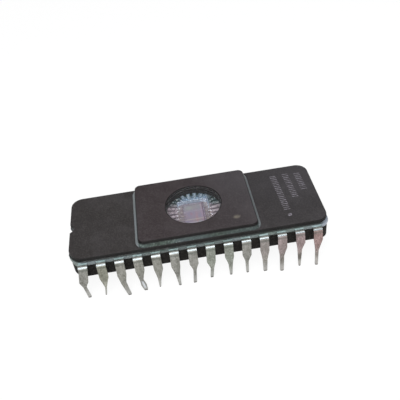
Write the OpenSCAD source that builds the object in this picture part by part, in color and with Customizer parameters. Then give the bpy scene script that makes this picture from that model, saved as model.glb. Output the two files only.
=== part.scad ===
// Ultraviolet-erasable memory chip in a windowed ceramic dual in-line package,
// standing on the tips of its leads.
// X runs along the body with the index notch at -X, the front row of leads is
// at -Y, and z = 0 is the plane of the lead tips.
// The pieces from the bottom up: the ceramic base with its die cavity, the die
// on its bonding layer, the seal glass that holds the lead frame, the bond
// wires, the ceramic cover, the glass under the lid, the lid and its window.
// Leads are counted from the notch along the front row, then back along the
// rear row.

/* [Ceramic body] */
// Length of the base and cover
body_l = 36.7; // [36.4:0.1:37.3]
// Width of the base and cover
body_w = 13.2; // [13.1:0.05:13.4]
// Radius of the base's upright corners
body_corner_r = 1.2; // [1:0.1:2]
// Height of the body's underside above the lead tips
stand_h = 3.2; // [2.8:0.1:4]
// Thickness of the base
base_h = 2.4; // [1.9:0.1:2.8]
// Radius of the base's lower edge
base_edge_r = 0.2; // [0.1:0.05:0.5]
// Thickness of the cover
cover_h = 0.7; // [0.5:0.05:1.2]
// Radius of the cover's upright corners
cover_corner_r = 1.7; // [1.2:0.1:2.3]
// Radius of the cover's upper edge
cover_edge_r = 0.15; // [0.05:0.05:0.2]
// Width of the index notch
notch_w = 1.9; // [1:0.1:2.4]
// Depth of the index notch
notch_d = 0.65; // [0.3:0.05:0.8]
// Radius to which handling has worn the corner by lead 1
worn_corner_r = 2.4; // [1.4:0.1:2.8]

/* [Die cavity] */
// Length of the cavity in the base, along X
cavity_l = 4.6; // [4.4:0.1:5.2]
// Width of the cavity, along Y
cavity_w = 6.2; // [6:0.1:6.8]
// Depth of the cavity
cavity_d = 0.7; // [0.6:0.05:1]
// Radius of the cavity's upright corners
cavity_corner_r = 0.3; // [0.1:0.05:0.6]
// Size of the die along X
die_l = 3.25; // [2.8:0.05:3.6]
// Size of the die along Y
die_w = 5.3; // [4.8:0.05:5.5]
// Thickness of the die
die_h = 0.45; // [0.3:0.05:0.5]
// Thickness of the metal layer that bonds the die to the cavity floor
attach_h = 0.05; // [0.03:0.01:0.1]
// Gap between the bonding layer and the cavity's wall
attach_gap = 0.05; // [0.02:0.01:0.08]

/* [Seal glass] */
// Thickness of the glass under the lead frame, and of the glass over it
seal_h = 0.15; // [0.1:0.01:0.25]
// Height of the glass rim that shows round the body
rim_h = 0.86; // [0.7:0.02:1]
// How far the glass rim bulges past the ceramic
rim_bulge = 0.14; // [0.05:0.01:0.25]
// Length of each inner lead's tip that stands free of the glass
free_tip = 0.35; // [0.2:0.05:0.6]

/* [Lid and window] */
// Length of the lid
lid_l = 16.8; // [16:0.1:17.6]
// Width of the cover's top that is left bare along each long side of the lid
lid_margin = 0.32; // [0.26:0.02:0.5]
// Radius of the lid's upright corners
lid_corner_r = 0.8; // [0.3:0.1:1]
// Thickness of the lid
lid_h = 0.9; // [0.7:0.05:1.2]
// Radius of the lid's upper edge
lid_edge_r = 0.1; // [0.05:0.05:0.2]
// Thickness of the glass under the lid
lid_seal_h = 0.15; // [0.1:0.05:0.25]
// How far the lid's glass climbs the side of the lid
lid_seal_climb = 0.48; // [0.2:0.02:0.6]
// How far the lid's glass spreads past each end of the lid
lid_seal_end = 0.48; // [0.3:0.02:0.6]
// How far the lid's glass spreads past each long side of the lid
lid_seal_side = 0.2; // [0.1:0.02:0.22]
// Diameter of the window
window_d = 8.2; // [7.6:0.1:8.8]
// Thickness of the window's glass
window_h = 0.7; // [0.5:0.05:0.75]
// Depth of the window's face below the top of the lid
window_recess = 0.12; // [0.05:0.01:0.15]
// Chamfer round the window's hole at the top of the lid
window_chamfer = 0.08; // [0.04:0.01:0.1]

/* [Leads] */
// Pitch of the leads along a row
lead_pitch = 2.54; // [2.5:0.01:2.56]
// How far a lead's outer face stands out from the body's side
lead_standoff = 1; // [0.95:0.01:1.2]
// Thickness of the lead frame
lead_t = 0.25; // [0.2:0.01:0.3]
// Width of a lead at the bend and the shoulders
shoulder_w = 1.27; // [1.15:0.01:1.5]
// Length of a straight lead's shoulders below the bend
shoulder_l = 1.6; // [1.2:0.1:1.9]
// Width of a straight lead's tip
tip_w = 0.46; // [0.4:0.02:0.56]
// Bevel at the corners of a lead's tip
tip_bevel = 0.08; // [0.02:0.01:0.1]
// Inner radius of the bend
bend_r = 0.2; // [0.1:0.05:0.3]
// Outward splay of the rear row, in degrees
rear_splay = 6; // [0:0.5:9]
// Distance of a straight lead's waist below the bend
rear_waist = 3; // [2.6:0.1:3.4]
// Length of the full-width stub that is held in the seal
stub_depth = 0.75; // [0.5:0.05:1]
// Width of a finger of the lead frame inside the seal
finger_w = 0.6; // [0.5:0.02:0.7]
// Width of a finger at its inner tip
finger_tip_w = 0.42; // [0.3:0.02:0.45]

/* [Bond wires] */
// Diameter of a bond wire
wire_d = 0.05; // [0.03:0.01:0.07]
// Height of a wire's loop over the line between its ends
wire_loop = 0.28; // [0.2:0.02:0.35]
// Diameter of the foot at each end of a wire
wire_foot_d = 0.14; // [0.1:0.01:0.18]
// Height of the foot
wire_foot_h = 0.05; // [0.04:0.01:0.07]

/* [Hidden] */
$fn = 64;
leads_per_row = 14;
lead_count = 2 * leads_per_row;
function lead_name(n) = str("lead_", n < 10 ? "0" : "", n);

// The front leads as they stand after years of handling, from the notch on.
// Outward splay in degrees
front_splay = [0.5, 0.5, 8.5, 4.5, 2.5, 6, 5.5, 0.5, 1.5, 2.5, 5.5, 10.5, 6.5, 10];
// Length of the shoulders below the bend
front_shoulder = [2.4, 2.1, 2, 1.8, 2.1, 2, 2.1, 2.4, 2, 2.2, 1.9, 1.8, 1.5, 1.4];
// Sideways lean of the shoulders at their lower end
front_lean = [-0.42, -0.05, -0.04, 0, 0.03, -0.05, 0, -0.09, 0, -0.04, -0.03, -0.05, 0.05, 0];
// Distance of the waist, where the taper ends, below the bend
front_waist = [3.4, 4, 3.4, 3.6, 3.9, 3.6, 3.2, 3.7, 3.4, 3.3, 3.5, 3.1, 2.6, 3.2];
// Sideways shift of the waist
front_waist_shift = [-0.48, -0.16, -0.03, -0.06, -0.07, 0.06, 0, -0.04, 0.06, -0.11, -0.08, -0.22, -0.12, -0.24];
// Width at the waist
front_waist_w = [0.42, 0.28, 0.74, 0.5, 0.5, 0.62, 0.46, 0.48, 0.62, 0.48, 0.68, 0.6, 0.64, 0.46];
// Width that a flattened lead gains halfway from the waist to the tip
front_swell = [0, 0, 0, 0.24, 0, 0, 0, 0, 0, 0, 0, 0, 0, 0];
// Sideways shift of the tip
front_tip_shift = [-0.22, -0.42, 0.46, 0.28, -0.2, 0.14, -0.22, -0.25, 0, -0.14, -0.13, -0.35, -0.22, -0.36];
// Width of the tip
front_tip_w = [0.44, 0.2, 0.48, 0.5, 0.2, 0.36, 0.46, 0.42, 0.34, 0.34, 0.52, 0.5, 0.28, 0.4];

// Heights of the faces between the pieces
base_z = stand_h;
base_top_z = base_z + base_h;
lead_z = base_top_z + seal_h;
lead_top_z = lead_z + lead_t;
cover_z = lead_top_z + seal_h;
cover_top_z = cover_z + cover_h;
lid_z = cover_top_z + lid_seal_h;
lid_w = body_w - 2 * lid_margin;
lid_top_z = lid_z + lid_h;
window_top_z = lid_top_z - window_recess;
window_z = window_top_z - window_h;
cavity_floor_z = base_top_z - cavity_d;
die_z = cavity_floor_z + attach_h;
die_top_z = die_z + die_h;

// The notch is a segment of a circle whose centre lies off the body's end
notch_r = (pow(notch_w / 2, 2) + pow(notch_d, 2)) / (2 * notch_d);
notch_x = -body_l / 2 - notch_r + notch_d;

// The rim of seal glass bulges as an arc between its two edges
rim_r = (pow(rim_h / 2, 2) + pow(rim_bulge, 2)) / (2 * rim_bulge);
rim_z = (base_top_z + cover_z - rim_h) / 2;

// The openings in the cover and in the glass below and above it
opening_d = window_d;
glass_opening_d = window_d + 0.4;
glass_setback = 0.1;
lid_seal_edge = 0.06;

// A lead's bend turns about a line at bend_y, bend_z
bend_outer_r = bend_r + lead_t;
bend_y = -body_w / 2 - lead_standoff + bend_outer_r;
bend_z = lead_z - bend_r;
taper_hollow = 0.45;
stub_y = -body_w / 2 + stub_depth;

// Six fingers end on each of the cavity's short sides and eight on each long one
fingers_along = 6;
fingers_across = 8;
first_along = (leads_per_row - fingers_along) / 2;
finger_pitch_x = cavity_l / fingers_along;
finger_pitch_y = cavity_w / fingers_across;
finger_tip_y = -cavity_w / 2 - glass_setback;
finger_tip_x = cavity_l / 2 + glass_setback;

// Each finger bends once more at a knee. On the long sides the knees are
// staggered, so that the fingers run side by side with an even gap.
fan_room = finger_tip_y - stub_y;
side_spread = 1.2;
side_knee = 0.47 * fan_room;
front_spread = 1.4;
first_front_knee = 0.26 * fan_room;
front_knee_step = 0.15 * fan_room;

// Bond pads stand in from the die's edge, feet in from the finger's tip
pad_inset = 0.2;
foot_inset = 0.25;

EPS = 0.01;

// Plan of a plate with round corners
module plate_plan(l, w, r) {
    square([l, w - 2 * r], center = true);
    square([l - 2 * r, w], center = true);
    for (sx = [-1, 1], sy = [-1, 1])
        translate([sx * (l / 2 - r), sy * (w / 2 - r)]) circle(r = r);
}

// Plate with round corners whose rim has the section given as the child.
// The section's x runs from the corner's centre outward and its y upward.
module rimmed_plate(l, w, r, h) {
    translate([-l / 2 + r, -w / 2 + r, 0]) cube([l - 2 * r, w - 2 * r, h]);
    for (quarter = [0:3]) {
        side_l = quarter % 2 == 0 ? l : w;
        side_w = quarter % 2 == 0 ? w : l;
        rotate(90 * quarter) translate([side_l / 2 - r, -side_w / 2 + r, 0]) {
            rotate([90, 0, -90]) linear_extrude(side_l - 2 * r) children();
            rotate(-90) rotate_extrude(angle = 90) children();
        }
    }
}

// Section of a rim with rounded lower and upper edges
module rounded_section(depth, h, low_r, high_r) {
    translate([0, low_r]) square([depth, h - low_r - high_r]);
    if (low_r > 0) {
        square([depth - low_r, h / 2]);
        translate([depth - low_r, low_r]) circle(r = low_r);
    }
    if (high_r > 0) {
        translate([0, h / 2]) square([depth - high_r, h / 2]);
        translate([depth - high_r, h - high_r]) circle(r = high_r);
    }
}

// Section of the seal glass rim, bulging past the body's side
module bulging_section(depth) {
    square([depth, rim_h]);
    intersection() {
        translate([depth + rim_bulge - rim_r, rim_h / 2]) circle(r = rim_r);
        translate([depth - EPS, 0]) square([rim_bulge + 2 * EPS, rim_h]);
    }
}

// The index notch, cut through the whole height of the body
module index_notch() {
    translate([notch_x, 0, 0]) cylinder(r = notch_r, h = lid_top_z);
}

// The corner by lead 1, worn rounder than the others through the whole height.
// The margin leaves the bulge of the glass rim standing.
module worn_corner(margin) {
    translate([-body_l / 2, -body_w / 2, 0]) linear_extrude(lid_top_z) difference() {
        translate([-1, -1]) square(1 + worn_corner_r);
        translate([worn_corner_r, worn_corner_r]) circle(r = worn_corner_r + margin + EPS);
    }
}

// Upright prism with round corners, used to cut the cavity and its setbacks
module cavity_prism(margin, z, h) {
    translate([0, 0, z]) linear_extrude(h)
        plate_plan(cavity_l + 2 * margin, cavity_w + 2 * margin, cavity_corner_r);
}

module ceramic_base() {
    color("#26221f") difference() {
        translate([0, 0, base_z]) rimmed_plate(body_l, body_w, body_corner_r, base_h)
            rounded_section(body_corner_r, base_h, base_edge_r, 0);
        cavity_prism(0, cavity_floor_z, cavity_d + EPS);
        index_notch();
        worn_corner(0);
    }
}

// Metal layer fired over the cavity's floor, which the die is bonded to
module die_attach() {
    color("#a39aa0") cavity_prism(-attach_gap, cavity_floor_z, attach_h);
}

module die() {
    color("#a79fb2") translate([0, 0, die_z + die_h / 2]) cube([die_l, die_w, die_h], center = true);
}

// Glass between the base and the cover, with the lead frame set in it
module seal_glass() {
    color("#5f6f6b") difference() {
        translate([0, 0, rim_z]) rimmed_plate(body_l, body_w, body_corner_r, rim_h)
            bulging_section(body_corner_r);
        translate([0, 0, base_top_z - rim_h]) linear_extrude(rim_h)
            plate_plan(body_l, body_w, body_corner_r);
        translate([0, 0, cover_z]) linear_extrude(rim_h) plate_plan(body_l, body_w, cover_corner_r);
        translate([0, 0, lead_top_z]) cylinder(d = glass_opening_d, h = rim_h);
        cavity_prism(glass_setback, base_top_z - EPS, rim_h);
        cavity_prism(glass_setback + free_tip, lead_z, rim_h);
        for (column = [0:leads_per_row - 1], row = [0, 1]) mirror([0, row, 0]) lead_web(column);
        index_notch();
        worn_corner(rim_bulge);
    }
}

module ceramic_cover() {
    color("#3b3634") difference() {
        translate([0, 0, cover_z]) rimmed_plate(body_l, body_w, cover_corner_r, cover_h)
            rounded_section(cover_corner_r, cover_h, 0, cover_edge_r);
        translate([0, 0, cover_z - EPS]) cylinder(d = opening_d, h = cover_h + 2 * EPS);
        index_notch();
        worn_corner(0);
    }
}

// Fillet of glass that seats the lid: one blend from its foot on the cover to
// its upper edge on the lid's side
module lid_seal_glass() {
    color("#6b7774") difference() {
        hull() {
            translate([0, 0, cover_top_z]) linear_extrude(lid_seal_edge)
                plate_plan(lid_l + 2 * lid_seal_end, lid_w + 2 * lid_seal_side, lid_corner_r + lid_seal_end);
            translate([0, 0, lid_z + lid_seal_climb - lid_seal_edge]) linear_extrude(lid_seal_edge)
                plate_plan(lid_l + 2 * lid_seal_edge, lid_w + 2 * lid_seal_edge, lid_corner_r + lid_seal_edge);
        }
        translate([0, 0, lid_z]) linear_extrude(lid_h) plate_plan(lid_l, lid_w, lid_corner_r);
        translate([0, 0, cover_top_z - EPS]) cylinder(d = glass_opening_d, h = lid_seal_h + 2 * EPS);
    }
}

module window_lid() {
    color("#423c3a") difference() {
        translate([0, 0, lid_z]) rimmed_plate(lid_l, lid_w, lid_corner_r, lid_h)
            rounded_section(lid_corner_r, lid_h, 0, lid_edge_r);
        translate([0, 0, lid_z - EPS]) cylinder(d = window_d, h = lid_h + 2 * EPS);
        translate([0, 0, lid_top_z - window_chamfer])
            cylinder(d1 = window_d, d2 = window_d + 2 * window_chamfer, h = window_chamfer);
    }
}

// Window of clear glass, melted into the lid, with a small meniscus at the wall
module window_glass() {
    meniscus = (window_recess - window_chamfer) * 0.9;
    color("#dfe6ea", 0.4) translate([0, 0, window_z]) rotate_extrude() {
        square([window_d / 2, window_h]);
        translate([window_d / 2 - meniscus, window_h]) difference() {
            square(meniscus);
            translate([0, meniscus]) circle(r = meniscus);
        }
    }
}

// Path of a front finger from its stub to its inner tip, as points in plan
function finger_path(column) =
    let (
        place = column - (leads_per_row - 1) / 2,
        x = place * lead_pitch,
        from_outermost = (fingers_along - 1) / 2 - abs(place),
        across = column < first_along ? column + 0.5 : leads_per_row - column - 0.5,
        side = column < first_along ? -1 : 1,
        along_x = place * finger_pitch_x,
        ends_on_front = column >= first_along && column < first_along + fingers_along,
        tip = ends_on_front ? [along_x, finger_tip_y]
            : [side * finger_tip_x, -across * finger_pitch_y],
        knee = ends_on_front
            ? [along_x * front_spread, tip[1] - first_front_knee - front_knee_step * from_outermost]
            : [tip[0] + side * side_knee, tip[1] * side_spread]
    )
    [[x, stub_y - finger_w / 2], [x, stub_y + finger_w / 2], knee, tip];

// Direction of the path's segment that ends at point i
function heading(path, i) = (path[i] - path[i - 1]) / norm(path[i] - path[i - 1]);

// Offset of a strip's edge from the path at point i, mitred at the corners
function edge_offset(path, i) =
    let (
        arrive = heading(path, max(i, 1)),
        leave = heading(path, min(i + 1, len(path) - 1)),
        mean = (arrive + leave) / norm(arrive + leave)
    )
    [-mean[1], mean[0]] / (mean * arrive);

// Outline of a strip along a path, with one width for each point
function strip(path, widths) =
    let (last = len(path) - 1)
    concat(
        [for (i = [0:last]) path[i] + edge_offset(path, i) * widths[i] / 2],
        [for (i = [last:-1:0]) path[i] - edge_offset(path, i) * widths[i] / 2]
    );

// Flat part of a front lead: the stub out to the bend and the finger inside
module lead_plan(column) {
    x = (column - (leads_per_row - 1) / 2) * lead_pitch;
    translate([x - shoulder_w / 2, bend_y]) square([shoulder_w, stub_y - bend_y]);
    polygon(strip(finger_path(column), [finger_w, finger_w, finger_w, finger_tip_w]));
}

module lead_web(column) {
    translate([0, 0, lead_z]) linear_extrude(lead_t) lead_plan(column);
}

// Outline of a lead below the bend: shoulders, hollow taper, then the tip
function drop_outline(drop_l, shoulder, lean, waist, waist_shift, waist_w, swell, tip_shift, end_w) =
    let (
        taper = (shoulder + waist) / 2,
        taper_x = (lean + waist_shift) / 2,
        taper_w = waist_w + (shoulder_w - waist_w) * taper_hollow,
        blade = (waist + drop_l) / 2,
        blade_x = (waist_shift + tip_shift) / 2,
        blade_w = (waist_w + end_w) / 2 + swell,
        right = [
            [shoulder_w / 2, 0],
            [lean + shoulder_w / 2, -shoulder],
            [taper_x + taper_w / 2, -taper],
            [waist_shift + waist_w / 2, -waist],
            [blade_x + blade_w / 2, -blade],
            [tip_shift + end_w / 2, -drop_l + tip_bevel],
            [tip_shift + end_w / 2 - tip_bevel, -drop_l]
        ],
        left = [
            [tip_shift - end_w / 2 + tip_bevel, -drop_l],
            [tip_shift - end_w / 2, -drop_l + tip_bevel],
            [blade_x - blade_w / 2, -blade],
            [waist_shift - waist_w / 2, -waist],
            [taper_x - taper_w / 2, -taper],
            [lean - shoulder_w / 2, -shoulder],
            [-shoulder_w / 2, 0]
        ]
    )
    concat(right, left);

// One formed lead of the front row. The drop is as long as it takes for the
// lower corner of its tip to reach z = 0 at this splay.
module formed_lead(column, splay, shoulder, lean, waist, waist_shift, waist_w, swell, tip_shift, end_w) {
    x = (column - (leads_per_row - 1) / 2) * lead_pitch;
    drop_l = (bend_z + bend_r * sin(splay)) / cos(splay);
    lead_web(column);
    translate([x, bend_y, bend_z]) {
        rotate(180, [1, 0, 1]) rotate_extrude(angle = 90 - splay)
            translate([bend_r, -shoulder_w / 2]) square([lead_t, shoulder_w]);
        rotate([90 - splay, 0, 0]) translate([0, 0, bend_r]) linear_extrude(lead_t)
            polygon(drop_outline(drop_l, shoulder, lean, waist, waist_shift, waist_w, swell, tip_shift, end_w));
    }
}

// Lead n, counted along the front row and back along the rear row
module lead(n) {
    color("#9a958c") if (n <= leads_per_row) {
        i = n - 1;
        formed_lead(i, front_splay[i], front_shoulder[i], front_lean[i], front_waist[i], front_waist_shift[i],
            front_waist_w[i], front_swell[i], front_tip_shift[i], front_tip_w[i]);
    } else {
        mirror([0, 1, 0]) formed_lead(lead_count - n, rear_splay, shoulder_l, 0, rear_waist, 0, tip_w, 0, 0, tip_w);
    }
}

// Foot of a wire on the finger, and the pad on the die that it comes from
function wire_end(column) =
    let (path = finger_path(column))
    path[3] - heading(path, 3) * foot_inset;
function die_pad(column) =
    let (
        tip = finger_path(column)[3],
        shrink_x = (die_l / 2 - pad_inset) / finger_tip_x,
        shrink_y = -(die_w / 2 - pad_inset) / finger_tip_y
    )
    [tip[0] * shrink_x, tip[1] * shrink_y];

// One wire: an arc between its two feet
module bond_wire(column) {
    from = die_pad(column);
    to = wire_end(column);
    run = norm(to - from);
    rise = lead_top_z - die_top_z;
    chord = norm([run, rise]);
    arc_r = (pow(chord / 2, 2) + pow(wire_loop, 2)) / (2 * wire_loop);
    half_angle = 2 * atan(2 * wire_loop / chord);
    for (foot = [[from[0], from[1], die_top_z], [to[0], to[1], lead_top_z]])
        translate(foot) cylinder(d = wire_foot_d, h = wire_foot_h);
    translate([from[0], from[1], die_top_z + wire_foot_h / 2])
        rotate(atan2(to[1] - from[1], to[0] - from[0]))
        rotate([0, -atan2(rise, run), 0])
        translate([chord / 2, 0, wire_loop - arc_r])
        rotate([90, 0, 0]) rotate(90 - half_angle)
        rotate_extrude(angle = 2 * half_angle)
        translate([arc_r, 0]) circle(d = wire_d, $fn = 16);
}

// Wires of the columns from first to last, on the front or the rear half
module wire_group(first, last, row) {
    color("#d9d6cc") mirror([0, row, 0]) for (column = [first:last]) bond_wire(column);
}

module bond_wires_front() {
    wire_group(first_along, first_along + fingers_along - 1, 0);
}

module bond_wires_rear() {
    wire_group(first_along, first_along + fingers_along - 1, 1);
}

module bond_wires_left() {
    for (row = [0, 1]) wire_group(0, first_along - 1, row);
}

module bond_wires_right() {
    for (row = [0, 1]) wire_group(first_along + fingers_along, leads_per_row - 1, row);
}

ceramic_base();
die_attach();
die();
seal_glass();
ceramic_cover();
lid_seal_glass();
window_lid();
window_glass();
bond_wires_front();
bond_wires_rear();
bond_wires_left();
bond_wires_right();
for (n = [1:lead_count]) lead(n);
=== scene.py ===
import math

import bmesh
import bpy
from mathutils import Matrix, Vector


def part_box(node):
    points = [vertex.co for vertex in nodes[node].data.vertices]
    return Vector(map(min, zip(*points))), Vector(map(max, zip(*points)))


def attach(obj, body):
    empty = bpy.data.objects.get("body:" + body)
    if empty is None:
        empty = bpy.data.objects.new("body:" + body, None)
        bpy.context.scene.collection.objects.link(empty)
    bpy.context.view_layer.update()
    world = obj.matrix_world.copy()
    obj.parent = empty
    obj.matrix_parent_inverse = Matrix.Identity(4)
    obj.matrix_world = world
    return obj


# The chip's own solids get procedural finishes, and the scene adds the ink on the cover, a floor, the
# light and the camera.

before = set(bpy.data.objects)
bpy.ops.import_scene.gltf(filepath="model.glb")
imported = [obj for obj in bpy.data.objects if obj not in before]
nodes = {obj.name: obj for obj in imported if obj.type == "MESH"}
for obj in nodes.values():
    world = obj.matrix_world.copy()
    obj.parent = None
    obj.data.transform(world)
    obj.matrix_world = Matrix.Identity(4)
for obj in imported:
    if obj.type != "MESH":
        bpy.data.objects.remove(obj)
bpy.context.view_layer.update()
scene = bpy.context.scene
MM = 0.001


# Places on the part, in millimetres of its frame

def corners(node):
    """The lowest and the highest corner of a CAD node."""
    return [tuple(round(value / MM, 3) for value in corner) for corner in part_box(node)]


LEFT, FRONT, COVER_BOTTOM = corners("ceramic_cover")[0]
RIGHT, REAR = corners("ceramic_cover")[1][:2]
BASE_TOP = corners("ceramic_base")[1][2]
LEAD_TOP = corners("lead_01")[1][2]
LID_END = corners("window_lid")[1][0]
LID_GLASS_TOP = corners("lid_seal_glass")[1][2]
WINDOW_RADIUS = corners("window_glass")[1][0]
BOND_BOTTOM = corners("die_attach")[0][2]
BOND_END, BOND_SIDE = corners("die_attach")[1][:2]
DIE_END, DIE_SIDE = corners("die")[1][:2]
# Distance between neighbouring leads
PITCH = 2.54
# Distance from the body's middle over which the ring of bond fingers ends
RING_END = (4.9, 5.4)
# Middle of the bright part of the ring's far side
FAR_MIDDLE = 0.4


def lead_place(number):
    """Where a lead of the front row stands along the body."""
    return (number - 7.5) * PITCH


# Colours

def rgb(red, green, blue):
    """The linear colour of an 8-bit one."""
    def linear(level):
        level /= 255
        return level / 12.92 if level <= 0.04045 else ((level + 0.055) / 1.055) ** 2.4
    return (linear(red), linear(green), linear(blue), 1.0)


def halfway(first, second):
    """The mean of two colours."""
    return tuple((one + other) / 2 for one, other in zip(first, second))


# Node trees

class NodeTree:
    """Fills a node tree. A value that it takes is a plain number or colour, or another node's output."""

    def __init__(self, tree):
        self.nodes = tree.nodes
        self.links = tree.links
        self.nodes.clear()

    def add(self, kind, inputs=None, **settings):
        node = self.nodes.new(kind)
        for key, value in settings.items():
            setattr(node, key, value)
        for key, value in (inputs or {}).items():
            self.feed(node.inputs[key], value)
        return node

    def feed(self, socket, value):
        if isinstance(value, bpy.types.NodeSocket):
            self.links.new(value, socket)
        else:
            socket.default_value = value

    def math(self, operation, first, second=0.0, third=0.0):
        return self.add("ShaderNodeMath", {0: first, 1: second, 2: third}, operation=operation).outputs[0]

    def product(self, first, *others):
        for other in others:
            first = self.math("MULTIPLY", first, other)
        return first

    def fade(self, value, low, high, start, end):
        """value turned smoothly from start at low into end at high."""
        return self.add("ShaderNodeMapRange", {0: value, 1: low, 2: high, 3: start, 4: end},
                        interpolation_type="SMOOTHSTEP").outputs[0]

    def rise(self, value, low, high, share=1.0):
        """0 up to low, share from high on."""
        return self.fade(value, low, high, 0.0, share)

    def fall(self, value, low, high, share=1.0):
        """share up to low, 0 from high on."""
        return self.fade(value, low, high, share, 0.0)

    def off(self, value, middle=0.0):
        """How far value is from the middle, either way."""
        return self.math("ABSOLUTE", self.math("SUBTRACT", value, middle))

    def band(self, value, middle, inner, outer, share=1.0):
        """share within inner of the middle, 0 from outer on."""
        return self.fall(self.off(value, middle), inner, outer, share)


class Finish(NodeTree):
    """A procedural material whose patterns are laid out in millimetres of the part's frame."""

    def __init__(self, name, **plain):
        self.material = bpy.data.materials.new(name)
        self.material.use_nodes = True
        super().__init__(self.material.node_tree)
        self.shader = self.add("ShaderNodeBsdfPrincipled")
        self.output = self.add("ShaderNodeOutputMaterial", {"Surface": self.shader.outputs["BSDF"]})
        for socket, value in plain.items():
            self.set(socket.replace("_", " "), value)
        coords = self.add("ShaderNodeTexCoord").outputs
        self.place = self.add("ShaderNodeVectorMath", {0: coords["Object"], "Scale": 1 / MM},
                              operation="SCALE").outputs[0]
        self.x, self.y, self.z = self.add("ShaderNodeSeparateXYZ", {0: self.place}).outputs
        self.facing_up = self.add("ShaderNodeSeparateXYZ", {0: coords["Normal"]}).outputs[2]
        self.colour = None
        self.relief = None

    def set(self, socket, value):
        self.feed(self.shader.inputs[socket], value)

    def swap(self, share, other):
        """Shows another shader in this one's place, by a share."""
        both = self.add("ShaderNodeMixShader", {0: share, 1: self.shader.outputs[0], 2: other.outputs[0]})
        self.feed(self.output.inputs["Surface"], both.outputs[0])

    def stretched(self, stretch, shift):
        return self.add("ShaderNodeVectorMath", {0: self.place, 1: stretch, 2: shift},
                        operation="MULTIPLY_ADD").outputs[0]

    def away(self, x=0.0, y=0.0, stretch=(1, 1)):
        """Distance from x, y as seen from above, with both axes stretched."""
        along, across = stretch
        offset = self.stretched((along, across, 0), (-x * along, -y * across, 0))
        return self.add("ShaderNodeVectorMath", {0: offset}, operation="LENGTH").outputs["Value"]

    def noise(self, scale, detail, rough, stretch=(1, 1, 1), shift=(0, 0, 0)):
        return self.add("ShaderNodeTexNoise", {"Vector": self.stretched(stretch, shift), "Scale": scale,
                                               "Detail": detail, "Roughness": rough}).outputs[0]

    def cells(self, scale):
        """Distance to the nearest of many scattered points."""
        return self.add("ShaderNodeTexVoronoi", {"Vector": self.place, "Scale": scale}).outputs[0]

    def stripes(self, axis, per_mm, low, high):
        """Even stripes along an axis, 0 in the middle of each and 1 at its borders."""
        return self.rise(self.off(self.math("FRACT", self.product(axis, per_mm)), 0.5), low, high)

    def mix(self, share, first, second, blend="MIX"):
        return self.add("ShaderNodeMix", {0: share, 6: first, 7: second},
                        data_type="RGBA", blend_type=blend).outputs[2]

    def ramp(self, value, *stops):
        node = self.add("ShaderNodeValToRGB", {0: value})
        bar = node.color_ramp.elements
        while len(bar) < len(stops):
            bar.new(0.5)
        for element, (place, colour) in zip(bar, stops):
            element.position = place
            element.color = colour
        return node.outputs[0]

    def ground(self, colour):
        """Makes this the surface's colour so far."""
        self.colour = colour
        self.set("Base Color", colour)

    def layer(self, share, colour, blend="MIX"):
        """Lays a colour over the colour so far, by a share."""
        self.ground(self.mix(share, self.colour, colour, blend))

    def keep(self, share, rest):
        """Keeps a share of the colour so far and gives the rest another colour."""
        self.ground(self.mix(share, rest, self.colour))

    def bump(self, height, distance, strength):
        """Adds relief of up to distance millimetres to the relief so far."""
        node = self.add("ShaderNodeBump", {"Height": height, "Distance": distance * MM, "Strength": strength})
        if self.relief is not None:
            self.feed(node.inputs["Normal"], self.relief)
        self.relief = node.outputs[0]
        self.set("Normal", self.relief)


# Ceramic

def ceramic(name, dark, light, grain=1.0, rough=0.55, side=0.25, shine=0.15):
    """Pressed and fired alumina: matt, lightly mottled, with a fine open grain. Its sides are painted
    darker than its flat top, as painted shade."""
    finish = Finish(name, Specular_IOR_Level=shine)
    patches = finish.noise(0.22, 4, 0.6)
    grit = finish.noise(5.5, 5, 0.7)
    pits = finish.fade(finish.cells(3.2), 0.04, 0.16, 0.55, 1.0)
    top_lit_share = finish.fade(finish.facing_up, 0.85, 0.998, side, 1.0)
    finish.ground(finish.mix(finish.rise(patches, 0.36, 0.66), dark, light))
    finish.layer(finish.rise(grit, 0.42, 0.75, 0.35), halfway(light, rgb(120, 118, 114)))
    finish.keep(pits, rgb(18, 16, 15))
    # The sides keep only the share side of their colour; the rest is painted shade.
    finish.keep(top_lit_share, rgb(5, 5, 5))
    finish.set("Roughness", finish.fade(grit, 0.3, 0.7, rough - 0.07, rough + 0.09))
    finish.bump(grit, 0.02 * grain, 0.8)
    finish.bump(pits, 0.03 * grain, 0.5)
    return finish


def painted_light_toward_end(finish, start, end, colour, share):
    """The flat top is painted paler toward its right end, and most at the rear, as painted light."""
    toward_end = finish.rise(finish.x, start, end, share)
    on_top = finish.rise(finish.facing_up, 0.9, 0.998)
    toward_rear = finish.fade(finish.y, -6.0, 5.0, 0.55, 1.15)
    # Painted light: the top paler toward the right end and the rear.
    finish.layer(finish.product(toward_end, on_top, toward_rear), colour)


def scuff(finish, x, y):
    """A pale rubbed spot about a millimetre across on the flat top at x, y."""
    spot = finish.fall(finish.away(x, y, stretch=(1, 1.3)), 0.05, 0.7, 0.5)
    broken = finish.fade(finish.noise(1.6, 4, 0.65), 0.3, 0.7, 0.5, 1.0)
    finish.layer(finish.product(spot, broken), rgb(150, 143, 128))


def far_ring(finish):
    """0 on the near part of the ring of bond fingers, 1 on its far part, with a ragged border."""
    slanted = finish.math("MULTIPLY_ADD", finish.x, 0.17, finish.y)
    ragged = finish.math("MULTIPLY_ADD", finish.noise(1.2, 3, 0.6), 1.6, slanted)
    return finish.rise(ragged, 1.5, 3.1)


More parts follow.
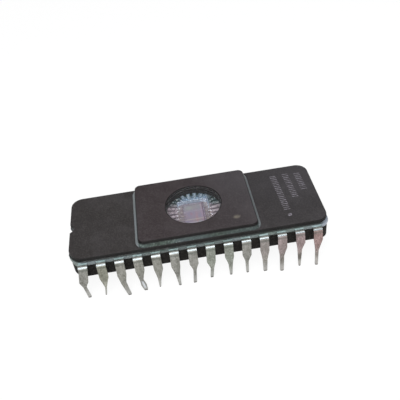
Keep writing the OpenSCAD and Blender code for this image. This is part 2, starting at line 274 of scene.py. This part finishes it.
def coat_cavity(finish):
    """The die cavity's walls carry the same fired metal as its floor, run up to the rim."""
    coated = finish.product(finish.band(finish.x, 0.0, BOND_END + 0.2, BOND_END + 0.3),
                            finish.band(finish.y, 0.0, BOND_SIDE + 0.2, BOND_SIDE + 0.3),
                            finish.rise(finish.z, BOND_BOTTOM - 0.3, BOND_BOTTOM - 0.2))
    wet = finish.noise(2.6, 4, 0.6)
    near_metal = finish.ramp(wet, (0.35, rgb(168, 156, 158)), (0.65, rgb(202, 190, 186)))
    far_metal = finish.ramp(wet, (0.35, rgb(160, 172, 190)), (0.65, rgb(204, 216, 230)))
    finish.layer(coated, finish.mix(far_ring(finish), near_metal, far_metal))
    finish.set("Metallic", finish.product(coated, 0.6))


def glass_run(finish):
    """Solder glass has run a little way down the base's corner by lead 1."""
    ragged = finish.math("MULTIPLY_ADD", finish.noise(1.2, 3, 0.6), 0.4, finish.z)
    run = finish.product(finish.fall(finish.x, LEFT + 0.95, LEFT + 1.25),
                         finish.fall(finish.y, FRONT + 1.2, FRONT + 1.8),
                         finish.rise(ragged, BASE_TOP - 0.5, BASE_TOP - 0.3))
    cloud = finish.rise(finish.noise(2.5, 3, 0.6), 0.35, 0.65)
    finish.layer(run, finish.mix(cloud, rgb(118, 128, 121), rgb(142, 152, 146)))


def cover_ceramic():
    finish = ceramic("cover_ceramic", rgb(44, 41, 41), rgb(54, 51, 52))
    painted_light_toward_end(finish, -2.0, RIGHT - 1.35, rgb(72, 71, 78), 0.22)
    return finish


def lid_ceramic():
    finish = ceramic("lid_ceramic", rgb(47, 40, 42), rgb(57, 51, 53))
    painted_light_toward_end(finish, -2.0, LID_END - 0.4, rgb(84, 84, 88), 0.27)
    scuff(finish, 5.7, -4.3)
    return finish


def base_ceramic():
    finish = ceramic("base_ceramic", rgb(17, 15, 13), rgb(25, 23, 20),
                     grain=1.4, rough=0.7, side=0.9, shine=0.1)
    coat_cavity(finish)
    glass_run(finish)
    return finish


# Solder glass

def solder_glass(name, dark, light, rough):
    """Devitrified solder glass: grey-green, wet looking, with flow marks and a few bubbles."""
    finish = Finish(name, Specular_IOR_Level=0.35, Coat_Roughness=0.12)
    flow = finish.noise(1.1, 4, 0.55, stretch=(1, 1, 3))
    cloud = finish.noise(4.5, 4, 0.6)
    hue = finish.noise(0.16, 2, 0.5, shift=(4.0, 0, 0))
    bubbles = finish.rise(finish.cells(2.2), 0.05, 0.2)
    finish.ground(finish.mix(finish.rise(flow, 0.35, 0.65), dark, light))
    finish.layer(finish.rise(hue, 0.35, 0.65, 0.5), halfway(light, rgb(108, 116, 134)))
    finish.layer(finish.rise(cloud, 0.5, 0.72, 0.45), rgb(156, 168, 162))
    finish.keep(bubbles, halfway(dark, rgb(20, 24, 22)))
    finish.set("Roughness", finish.fade(cloud, 0.3, 0.7, rough - 0.1, rough + 0.15))
    finish.bump(flow, 0.12, 0.6)
    finish.bump(cloud, 0.03, 0.5)
    return finish


def seal_glass():
    """Darker and greener in the middle of the body, near black where it thins out against the cover as
    painted shade, paler at the ends, rubbed dull at the corner by lead 1 and dark in the notch as
    painted shade. The glass stays shiny only below the cover."""
    finish = solder_glass("seal_glass", rgb(70, 82, 78), rgb(106, 116, 115), rough=0.3)
    worn = finish.product(finish.fall(finish.x, LEFT + 1.15, LEFT + 1.85),
                          finish.fall(finish.y, FRONT + 1.6, FRONT + 2.6))
    pale_corner = finish.product(finish.rise(finish.x, RIGHT - 1.45, RIGHT - 0.45),
                                 finish.fall(finish.y, FRONT + 1.0, FRONT + 2.0))
    crease_shade = finish.product(finish.rise(finish.z, COVER_BOTTOM - 0.1, COVER_BOTTOM + 0.05, 0.94),
                          finish.math("MULTIPLY_ADD", pale_corner, -0.65, 1.0))
    notch = finish.product(finish.band(finish.y, 0.0, 1.3, 1.6),
                           finish.fall(finish.x, LEFT + 0.75, LEFT + 1.15))
    finish.layer(finish.band(finish.x, -2.2, 2.5, 8.0, 0.46), rgb(36, 52, 44))
    finish.layer(finish.rise(finish.x, 0.0, 14.0, 0.25), rgb(92, 112, 98))
    finish.layer(finish.rise(finish.off(finish.x), RIGHT - 4.85, RIGHT - 0.35, 0.55), rgb(148, 158, 168))
    finish.layer(finish.product(worn, 0.75), rgb(92, 103, 96))
    finish.layer(finish.product(pale_corner, 0.5), rgb(152, 158, 176))
    # Painted shade in the crease under the cover.
    finish.layer(crease_shade, rgb(11, 17, 13))
    # Painted shade in the notch.
    finish.layer(finish.product(notch, 0.9), rgb(20, 22, 21))
    between_fingers(finish)
    shiny = finish.math("SUBTRACT", 1.0, finish.math("MAXIMUM", notch, worn))
    below_cover = finish.fall(finish.z, COVER_BOTTOM - 0.2, COVER_BOTTOM - 0.03, 0.3)
    finish.set("Coat Weight", finish.product(below_cover, shiny))
    return finish


def between_fingers(finish):
    """The glass in the gaps between the bond fingers, bright behind the middle of the far side."""
    far = finish.product(finish.rise(finish.y, 2.6, 2.9), finish.fall(finish.y, 3.35, 3.75, 0.9),
                         finish.band(finish.x, FAR_MIDDLE, 1.6, 2.3))
    gap = finish.mix(far_ring(finish), rgb(92, 80, 88), rgb(22, 40, 38))
    finish.layer(finish.fall(finish.away(), *RING_END, 0.94), finish.mix(far, gap, rgb(132, 156, 176)))


def lid_seal_glass():
    """Thin, dark and green along the lid's sides, thicker and paler past its ends. Painted shade
    darkens it toward the right, and near black along its top against the lid.
    """
    finish = solder_glass("lid_seal_glass", rgb(35, 46, 40), rgb(61, 75, 67), rough=0.38)
    ends = finish.math("MAXIMUM", finish.fall(finish.x, -LID_END - 0.2, -LID_END + 0.1),
                       finish.rise(finish.x, LID_END - 0.1, LID_END + 0.2, 0.8))
    # Painted shade: darker toward the right.
    finish.layer(finish.rise(finish.x, -8.0, 5.0, 0.55), rgb(28, 40, 33))
    finish.layer(ends, finish.mix(0.5, rgb(116, 120, 124), finish.colour, "ADD"))
    # Painted shade along the top, where the glass meets the lid.
    finish.layer(finish.rise(finish.z, LID_GLASS_TOP - 0.18, LID_GLASS_TOP - 0.05, 0.75), rgb(13, 17, 15))
    finish.set("Coat Weight", 0.1)
    return finish


# Leads

def lead_metal(name, tint, low_tint, dull=0.0, mark=None):
    """Tinned nickel-iron strip. mark is a function that adds what one lead alone has."""
    finish = Finish(name)
    drawn = finish.noise(6.0, 4, 0.65, stretch=(1.0, 1.0, 0.12))
    patches = finish.noise(0.9, 4, 0.6, stretch=(1.4, 1, 0.7), shift=(3.1, 0, 0))
    specks = finish.noise(7.0, 4, 0.7)
    tarnish(finish, drawn, patches, specks)
    own_tint = finish.mix(finish.rise(finish.z, 1.6, 3.6), (*low_tint, 1.0), (*tint, 1.0))
    finish.layer(finish.fall(finish.facing_up, 0.35, 0.75), own_tint, "MULTIPLY")
    # Painted reflection: paler toward the lower end.
    finish.layer(finish.fall(finish.z, 0.7, 2.0, 0.36), rgb(204, 204, 202))
    if mark:
        mark(finish)
    finish.layer(finish.fall(finish.z, 0.06, 0.3, 0.8), rgb(66, 60, 58))
    bend = lead_bend(finish)
    stub = lead_stub(finish, patches)
    finger = bond_finger(finish)
    outside = finish.math("SUBTRACT", 1.0, finger)
    metal = finish.math("MULTIPLY_ADD", finger, -0.5, 1.0)
    finish.set("Metallic", finish.math("MULTIPLY_ADD", finish.product(stub, outside), -0.4, metal))
    rough = finish.fade(patches, 0.3, 0.7, 0.36 + dull, 0.5 + dull)
    polished = finish.math("MAXIMUM", bend, finger)
    finish.set("Roughness", finish.math("MULTIPLY_ADD", polished, -0.14, rough))
    finish.bump(finish.product(drawn, outside), 0.006, 0.5)
    finish.bump(specks, 0.006, 0.5)
    return finish


def tarnish(finish, drawn, patches, specks):
    """Tinned metal with grain drawn down each lead, and tarnish in patches and specks."""
    uneven = finish.rise(finish.noise(0.45, 2, 0.5, stretch=(1, 1, 0.8), shift=(7, 0, 3)), 0.36, 0.64)
    finish.ground(finish.mix(finish.rise(patches, 0.34, 0.68), rgb(137, 137, 131), rgb(165, 164, 159)))
    finish.layer(finish.fade(finish.z, 2.0, 4.5, 1.0, 0.4),
                 finish.mix(uneven, (0.82, 0.82, 0.82, 1.0), (1.24, 1.24, 1.24, 1.0)), "MULTIPLY")
    finish.layer(finish.rise(drawn, 0.38, 0.72, 0.4), rgb(104, 102, 95))
    finish.layer(finish.rise(specks, 0.52, 0.66, 0.75), rgb(84, 80, 72))
    finish.layer(finish.fall(specks, 0.32, 0.46, 0.6), rgb(208, 208, 202))


def dark_ring(finish):
    """A dark ring of tarnish above the tip."""
    finish.layer(finish.band(finish.z, 1.75, 0.3, 0.8, 0.6), rgb(56, 50, 44))


def facet_highlight(finish):
    """A narrow painted highlight with painted shade along its edges, down the flattened end of lead 4,
    which leans.
    """
    streak_line = finish.math("MULTIPLY_ADD", finish.z, -0.18, lead_place(4) + 0.32)
    across = finish.off(finish.x, streak_line)
    highlight_band = finish.band(finish.z, 1.15, 0.4, 0.9, 0.55)
    # Painted highlight and painted shade on the twisted end.
    finish.layer(finish.product(highlight_band, finish.fall(across, 0.08, 0.2)), rgb(236, 242, 250))
    finish.layer(finish.product(highlight_band, finish.rise(across, 0.14, 0.26, 0.8)), rgb(112, 112, 106))


def lead_bend(finish):
    """A painted dark reflection just below the bend, and the bend itself painted bluer to colour its
    highlight, a painted highlight. Returns where the bend is."""
    dark_reflection_below_bend = finish.product(finish.rise(finish.z, LEAD_TOP - 0.85, LEAD_TOP - 0.5),
                            finish.fall(finish.facing_up, 0.15, 0.4, 0.5))
    # Painted reflection: darker just below the bend.
    finish.layer(dark_reflection_below_bend, rgb(92, 98, 92))
    bend = finish.product(finish.rise(finish.facing_up, 0.45, 0.8),
                          finish.fall(finish.facing_up, 0.85, 0.96))
    # Painted highlight colour on the bend.
    finish.layer(bend, rgb(124, 132, 136))
    return bend


def lead_stub(finish, patches):
    """The level stub between the body and the bend, painted pale blue-grey as a painted reflection of
    the sky, dimmer toward the bend and in the middle of the row. Returns where the stub is."""
    stub = finish.product(finish.rise(finish.facing_up, 0.97, 0.995),
                          finish.fade(finish.off(finish.y), REAR + 0.26, REAR + 0.48, 1.0, 0.15),
                          finish.rise(finish.z, LEAD_TOP - 0.3, LEAD_TOP - 0.1))
    stub_reflection = finish.mix(finish.rise(patches, 0.35, 0.65), rgb(172, 196, 194), rgb(204, 226, 228))
    mid_row = finish.band(finish.x, 1.5, 1.5, 6.0, 0.55)
    # Painted reflection of the sky on the stub tops.
    finish.layer(stub, finish.mix(mid_row, stub_reflection, rgb(128, 150, 144)))
    return stub


def bond_finger(finish):
    """Bright streaky metal on the bond finger inside the cavity, bluer and with more contrast on the
    far side, where painted glints lie on its streaks and painted shadow of the lid darkens its outer
    edge. Returns where the finger is."""
    finger = finish.product(finish.fall(finish.away(), *RING_END),
                            finish.rise(finish.z, LEAD_TOP - 0.6, LEAD_TOP - 0.4))
    streaks = finish.noise(3.2, 3, 0.65)
    far_streaks = finish.mix(finish.rise(streaks, 0.4, 0.52), rgb(110, 134, 150), rgb(186, 208, 230))
    far = finish.mix(finish.band(finish.x, FAR_MIDDLE, 1.6, 2.5), rgb(78, 98, 104), far_streaks)
    # Painted glints on the far streaks.
    far = finish.mix(finish.rise(streaks, 0.54, 0.62, 0.9), far, rgb(244, 252, 248))
    # Painted shadow of the lid over the far edge of the ring.
    far = finish.mix(finish.rise(finish.y, 4.15, 4.6, 0.85), far, rgb(24, 30, 32))
    near = finish.mix(finish.rise(streaks, 0.38, 0.58), rgb(164, 148, 158), rgb(216, 202, 208))
    finish.layer(finger, finish.mix(far_ring(finish), near, far))
    return finger


# Window, die and wires

def window():
    """Clear ultraviolet glass, polished on top, that lets the light fall on the chip under it. A dark
    ring round its edge is the joint and painted shade of the rim."""
    finish = Finish("window_glass", IOR=1.48, Transmission_Weight=1.0)
    joint_and_rim_shade = finish.rise(finish.away(), WINDOW_RADIUS - 0.12, WINDOW_RADIUS - 0.04)
    smears = finish.fade(finish.noise(0.6, 4, 0.6), 0.4, 0.75, 0.02, 0.07)
    # A dark ring round the edge: the joint, with painted shade of the rim.
    finish.ground(finish.mix(joint_and_rim_shade, rgb(251, 253, 255), rgb(24, 22, 24)))
    finish.set("Roughness", finish.math("MAXIMUM", smears, finish.product(joint_and_rim_shade, 0.8)))
    finish.bump(finish.noise(0.35, 2, 0.5), 0.01, 0.3)
    rays = finish.add("ShaderNodeLightPath").outputs
    light_rays = finish.math("MAXIMUM", rays["Is Shadow Ray"], rays["Is Diffuse Ray"])
    finish.swap(light_rays, finish.add("ShaderNodeBsdfTransparent"))
    return finish


def die_border(finish, inset_x, inset_y, soft):
    """1 along the die's edges, 0 from these insets inward."""
    return finish.math("MAXIMUM",
                       finish.rise(finish.off(finish.x), DIE_END - inset_x, DIE_END - inset_x + soft),
                       finish.rise(finish.off(finish.y), DIE_SIDE - inset_y, DIE_SIDE - inset_y + soft))


def silicon():
    """Silicon under passivation: two cell arrays of fine rows beside a decoder column, with interference
    tints, a rim for the bond pads and a clear saw street round it."""
    finish = Finish("silicon", Metallic=0.35)
    rows = finish.stripes(finish.y, 8.0, 0.1, 0.4)
    columns = finish.stripes(finish.x, 5.0, 0.36, 0.48)
    tint = finish.noise(0.45, 2, 0.5, stretch=(1.3, 1, 1), shift=(1.3, 2.2, 0))
    finish.ground(finish.ramp(tint, (0.3, rgb(146, 142, 166)), (0.46, rgb(158, 144, 160)),
                              (0.58, rgb(166, 146, 154)), (0.72, rgb(146, 158, 158))))
    finish.layer(finish.rise(finish.y, 0.6, 1.6, 0.55), rgb(152, 160, 156))
    finish.layer(finish.product(rows, 0.26), rgb(112, 104, 126))
    finish.layer(finish.product(columns, 0.22), rgb(192, 184, 194))
    green_spot = finish.away(-0.7, 1.55, stretch=(0.7, 1))
    finish.layer(finish.fall(green_spot, 0.1, 0.6, 0.42), rgb(166, 174, 162))
    red_spot = finish.away(-0.5, 0.25, stretch=(1, 0.6))
    finish.layer(finish.fall(red_spot, 0.08, 0.3, 0.4), rgb(182, 122, 130))
    decoder = finish.product(finish.band(finish.x, 0.28, 0.12, 0.2),
                             finish.fall(finish.y, -2.0, 1.6, 0.5))
    finish.layer(decoder, rgb(188, 134, 132))
    # Axis, place along it, half width, share and colour
    blocks = (
        (finish.y, -0.97, 0.1, 0.6, rgb(192, 182, 174)),
        (finish.y, -1.65, 0.12, 0.5, rgb(188, 184, 196)),
        (finish.y, 0.85, 0.06, 0.5, rgb(178, 174, 186)),
        (finish.y, 2.28, 0.08, 0.6, rgb(112, 100, 116)),
        (finish.x, 1.12, 0.07, 0.4, rgb(186, 146, 162)),
        (finish.x, 1.38, 0.1, 0.85, rgb(96, 62, 80)),
    )
    for axis, middle, half, share, colour in blocks:
        finish.layer(finish.band(axis, middle, half * 0.6, half * 1.6, share), colour)
    finish.layer(finish.product(die_border(finish, 0.3, 0.36, 0.06), 0.5), rgb(160, 146, 160))
    finish.layer(finish.product(die_border(finish, 0.07, 0.07, 0.04), 0.6), rgb(118, 100, 112))
    finish.set("Roughness", finish.fade(finish.math("MAXIMUM", rows, columns), 0, 1, 0.32, 0.46))
    finish.bump(rows, 0.01, 0.3)
    return finish


def bond_metal():
    """Gold and silicon melted together under the die: dull, lilac to sand, with a wavy skin."""
    finish = Finish("die_bond", Metallic=0.6)
    wet = finish.noise(1.6, 4, 0.6)
    finish.ground(finish.ramp(wet, (0.34, rgb(150, 134, 138)), (0.5, rgb(176, 164, 170)),
                              (0.66, rgb(186, 172, 160))))
    finish.set("Roughness", finish.fade(wet, 0.3, 0.7, 0.4, 0.6))
    finish.bump(wet, 0.03, 0.6)
    return finish


def bond_wire():
    """Drawn aluminium wire, bright with fine draw marks."""
    finish = Finish("bond_wire", Metallic=1.0)
    marks = finish.noise(7.0, 2, 0.5)
    finish.ground(finish.ramp(marks, (0.35, rgb(196, 198, 202)), (0.7, rgb(232, 234, 238))))
    finish.set("Roughness", finish.fade(marks, 0.3, 0.7, 0.18, 0.3))
    finish.bump(marks, 0.004, 0.4)
    return finish


# Every CAD piece gets its finish

def paint(finish, *names):
    for name in names:
        mesh = nodes[name].data
        mesh.materials.clear()
        mesh.materials.append(finish.material)


def leads(*numbers):
    return [f"lead_{number:02d}" for number in numbers]


paint(base_ceramic(), "ceramic_base")
paint(cover_ceramic(), "ceramic_cover")
paint(lid_ceramic(), "window_lid")
paint(seal_glass(), "seal_glass")
paint(lid_seal_glass(), "lid_seal_glass")
paint(window(), "window_glass")
paint(silicon(), "die")
paint(bond_metal(), "die_attach")
paint(bond_wire(), "bond_wires_front", "bond_wires_rear", "bond_wires_left", "bond_wires_right")
# A lead's tint, and the tint of its lower end
paint(lead_metal("lead_plain", (1.0, 1.0, 1.0), (1.0, 1.0, 1.0)), *leads(1, 6, 7, 10, *range(15, 29)))
paint(lead_metal("lead_dim", (0.93, 0.93, 0.91), (1.0, 1.0, 0.99)), *leads(3, 5))
paint(lead_metal("lead_olive", (0.97, 0.98, 0.88), (1.0, 1.0, 0.95), dull=0.03), *leads(2))
paint(lead_metal("lead_bright", (1.0, 1.0, 0.98), (1.0, 1.0, 1.0), mark=facet_highlight), *leads(4))
paint(lead_metal("lead_grey_green", (0.97, 1.04, 0.99), (0.96, 1.0, 0.97)), *leads(8, 9))
paint(lead_metal("lead_warm", (0.99, 0.91, 0.94), (0.96, 0.93, 0.92)), *leads(11))
paint(lead_metal("lead_rosy", (1.12, 0.94, 1.0), (1.0, 0.95, 0.94)), *leads(12))
paint(lead_metal("lead_banded", (1.07, 0.85, 0.92), (1.0, 0.95, 0.93), mark=dark_ring), *leads(13))
paint(lead_metal("lead_copper", (1.18, 0.85, 0.88), (1.06, 0.98, 0.98)), *leads(14))


# Pieces of the scene's own

def build(name, bm, finish):
    mesh = bpy.data.meshes.new(name)
    bm.normal_update()
    bm.to_mesh(mesh)
    bm.free()
    mesh.materials.append(finish.material)
    thing = bpy.data.objects.new(name, mesh)
    scene.collection.objects.link(thing)
    return thing


def piece(name, bm, finish):
    thing = build(name, bm, finish)
    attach(thing, "root")


# Ink on the cover, in millimetres

# Place along the body, rear end, front end and number of strokes of each row
INK_ROWS = ((16.5, 4.6, 0.4, 10), (14.72, 4.85, -1.0, 14), (12.8, 4.75, -3.5, 20))
# How far a row drifts along the body for each millimetre toward the front
ROW_SLANT = 0.045
STROKE_LENGTH, STROKE_WIDTH, STROKE_RADIUS = 0.95, 0.15, 0.06
DOT_PLACE, DOT_SIZE, DOT_RADIUS = (13.25, -4.5), 0.6, 0.28
INK_SUNK, INK_PROUD = 0.002, 0.008
CORNER_STEPS = 3


def worn_ink():
    """Pale grey pad-printed ink, thin and rubbed, so that the ceramic shows through it."""
    finish = Finish("worn_ink", Specular_IOR_Level=0.25)
    rub = finish.noise(3.4, 5, 0.7)
    finish.ground(finish.ramp(rub, (0.36, rgb(68, 65, 68)), (0.5, rgb(106, 102, 108)),
                              (0.68, rgb(138, 134, 144))))
    finish.set("Roughness", finish.fade(rub, 0.3, 0.7, 0.55, 0.75))
    finish.bump(rub, 0.01, 0.6)
    return finish


def print_mark(bm, top, x, y, length, width, radius):
    """A closed film of ink with round corners, its middle at x, y. top is the printed face's height in
    metres."""
    outline = []
    for side_x, side_y in ((-1, -1), (1, -1), (1, 1), (-1, 1)):
        for step in range(CORNER_STEPS + 1):
            angle = math.atan2(side_y, side_x) - math.pi / 4 + step / CORNER_STEPS * math.pi / 2
            outline.append((x + side_x * (length / 2 - radius) + radius * math.cos(angle),
                            y + side_y * (width / 2 - radius) + radius * math.sin(angle)))
    low = [bm.verts.new((along * MM, across * MM, top - INK_SUNK * MM)) for along, across in outline]
    high = [bm.verts.new((along * MM, across * MM, top + INK_PROUD * MM)) for along, across in outline]
    bm.faces.new(high)
    bm.faces.new(low[::-1])
    for side in range(len(outline)):
        bm.faces.new((low[side - 1], low[side], high[side], high[side - 1]))


def ink_rows():
    """Three rows of plain even strokes and a dot, where the real part carries its printing."""
    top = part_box("ceramic_cover")[1].z
    bm = bmesh.new()
    print_mark(bm, top, *DOT_PLACE, DOT_SIZE, DOT_SIZE, DOT_RADIUS)
    for x, rear, front, count in INK_ROWS:
        for stroke in range(count):
            y = rear - (stroke + 0.5) * (rear - front) / count
            x_here = x + ROW_SLANT * (rear - y)
            print_mark(bm, top, x_here, y, STROKE_LENGTH, STROKE_WIDTH, STROKE_RADIUS)
    return bm


piece("cover_ink_dashes", ink_rows(), worn_ink())


# Floor, in metres

FLOOR_REACH, RIM_HEIGHT, COVE_RADIUS = 0.9, 0.34, 0.15
FULL_GLOW_HEIGHT = 0.2
FLOOR_SIDES, COVE_STEPS = 96, 8


def floor_white():
    """Matt white. Seen by the camera, in a reflection or through glass it glows, and fully so high up on
    the rim."""
    finish = Finish("floor", Roughness=0.9, Specular_IOR_Level=0.1)
    rays = finish.add("ShaderNodeLightPath").outputs
    mirrored = finish.math("MAXIMUM", rays["Is Glossy Ray"], rays["Is Transmission Ray"])
    seen = finish.math("MAXIMUM", rays["Is Camera Ray"], mirrored)
    finish.ground(finish.mix(seen, (0.8, 0.8, 0.8, 1.0), (1.0, 1.0, 1.0, 1.0)))
    glow = finish.add("ShaderNodeEmission", {"Color": (1.0, 1.0, 1.0, 1.0), "Strength": 1.0})
    glow_share = finish.fade(finish.z, 0.0, FULL_GLOW_HEIGHT / MM, 0.9, 1.0)
    finish.swap(finish.product(seen, glow_share), glow)
    return finish


def floor():
    """A round white table with an upright rim far behind the part on every side."""
    cove = [step / COVE_STEPS * math.pi / 2 for step in range(COVE_STEPS + 1)]
    profile = [(FLOOR_REACH - COVE_RADIUS + COVE_RADIUS * math.sin(angle),
                COVE_RADIUS - COVE_RADIUS * math.cos(angle)) for angle in cove]
    profile.append((FLOOR_REACH, RIM_HEIGHT))
    turns = [side * math.tau / FLOOR_SIDES for side in range(FLOOR_SIDES)]
    bm = bmesh.new()
    rings = [[bm.verts.new((radius * math.cos(turn), radius * math.sin(turn), z)) for turn in turns]
             for radius, z in profile]
    bm.faces.new(rings[0])
    for low, high in zip(rings, rings[1:]):
        for side in range(FLOOR_SIDES):
            bm.faces.new((low[side - 1], low[side], high[side], high[side - 1])).smooth = True
    thing = build("floor", bm, floor_white())


# Light, in metres and watts

# Strength of the world near the horizon, overhead and behind the part
WORLD_LOW, WORLD_HIGH, WORLD_REAR = 0.5, 0.85, 0.3
WORLD_COLOUR = (0.97, 0.985, 1.0, 1.0)
# Name, place, diameter, power and colour of each lamp
LAMPS = (
    ("overhead", (-0.012, -0.13, 0.27), 0.2, 0.62, (1.0, 0.99, 0.98)),
    ("front_window", (-0.05, -0.26, 0.17), 0.12, 0.22, (0.97, 0.99, 1.0)),
)
LAMP_TARGET = Vector((0, 0, 0.005))


def studio():
    """A soft studio world: bright overhead and in front, dimmer behind."""
    world = bpy.data.worlds.new("studio")
    world.use_nodes = True
    scene.world = world
    tree = NodeTree(world.node_tree)
    direction = tree.add("ShaderNodeTexCoord").outputs["Generated"]
    toward_rear, upward = tree.add("ShaderNodeSeparateXYZ", {0: direction}).outputs[1:3]
    height = tree.fade(upward, 0.0, 0.9, WORLD_LOW, WORLD_HIGH)
    behind = tree.math("MAXIMUM", tree.fade(toward_rear, -0.2, 0.45, 1.0, WORLD_REAR),
                       tree.rise(upward, 0.72, 0.92))
    back = tree.add("ShaderNodeBackground", {"Color": WORLD_COLOUR, "Strength": tree.product(height, behind)})
    tree.add("ShaderNodeOutputWorld", {"Surface": back.outputs[0]})


def lamps():
    """Two large soft lamps that face the part."""
    for name, place, size, power, colour in LAMPS:
        lamp = bpy.data.lights.new(name, "AREA")
        lamp.shape, lamp.size, lamp.energy, lamp.color = "DISK", size, power, colour
        thing = bpy.data.objects.new(name, lamp)
        thing.location = place
        thing.rotation_euler = (LAMP_TARGET - Vector(place)).to_track_quat("-Z", "Y").to_euler()
        scene.collection.objects.link(thing)


# Camera, fitted to the photo: degrees, millimetres of the frame, and pixels of the picture

AZIMUTH, ELEVATION, ROLL = 2.768, 40.07, -7.347
CAMERA_PLACE = Vector((-1.97, -62.65, 61.11))
FOCAL_PIXELS, PICTURE_PIXELS = 563.416, 400
SENSOR_WIDTH = 36


def camera():
    azimuth, elevation, roll = map(math.radians, (AZIMUTH, ELEVATION, ROLL))
    forward = Vector((math.sin(azimuth) * math.cos(elevation), math.cos(azimuth) * math.cos(elevation),
                      -math.sin(elevation)))
    level = Vector((math.cos(azimuth), -math.sin(azimuth), 0))
    upright = level.cross(forward)
    right = math.cos(roll) * level + math.sin(roll) * upright
    up = -math.sin(roll) * level + math.cos(roll) * upright
    data = bpy.data.cameras.new("camera")
    data.sensor_width, data.lens = SENSOR_WIDTH, FOCAL_PIXELS * SENSOR_WIDTH / PICTURE_PIXELS
    data.clip_start, data.clip_end = 0.001, 50
    thing = bpy.data.objects.new("camera", data)
    turn = Matrix((right, up, -forward)).transposed()
    thing.matrix_world = Matrix.Translation(CAMERA_PLACE * MM) @ turn.to_4x4()
    scene.collection.objects.link(thing)
    scene.camera = thing


floor()
studio()
lamps()
camera()
scene.view_settings.view_transform = "Standard"
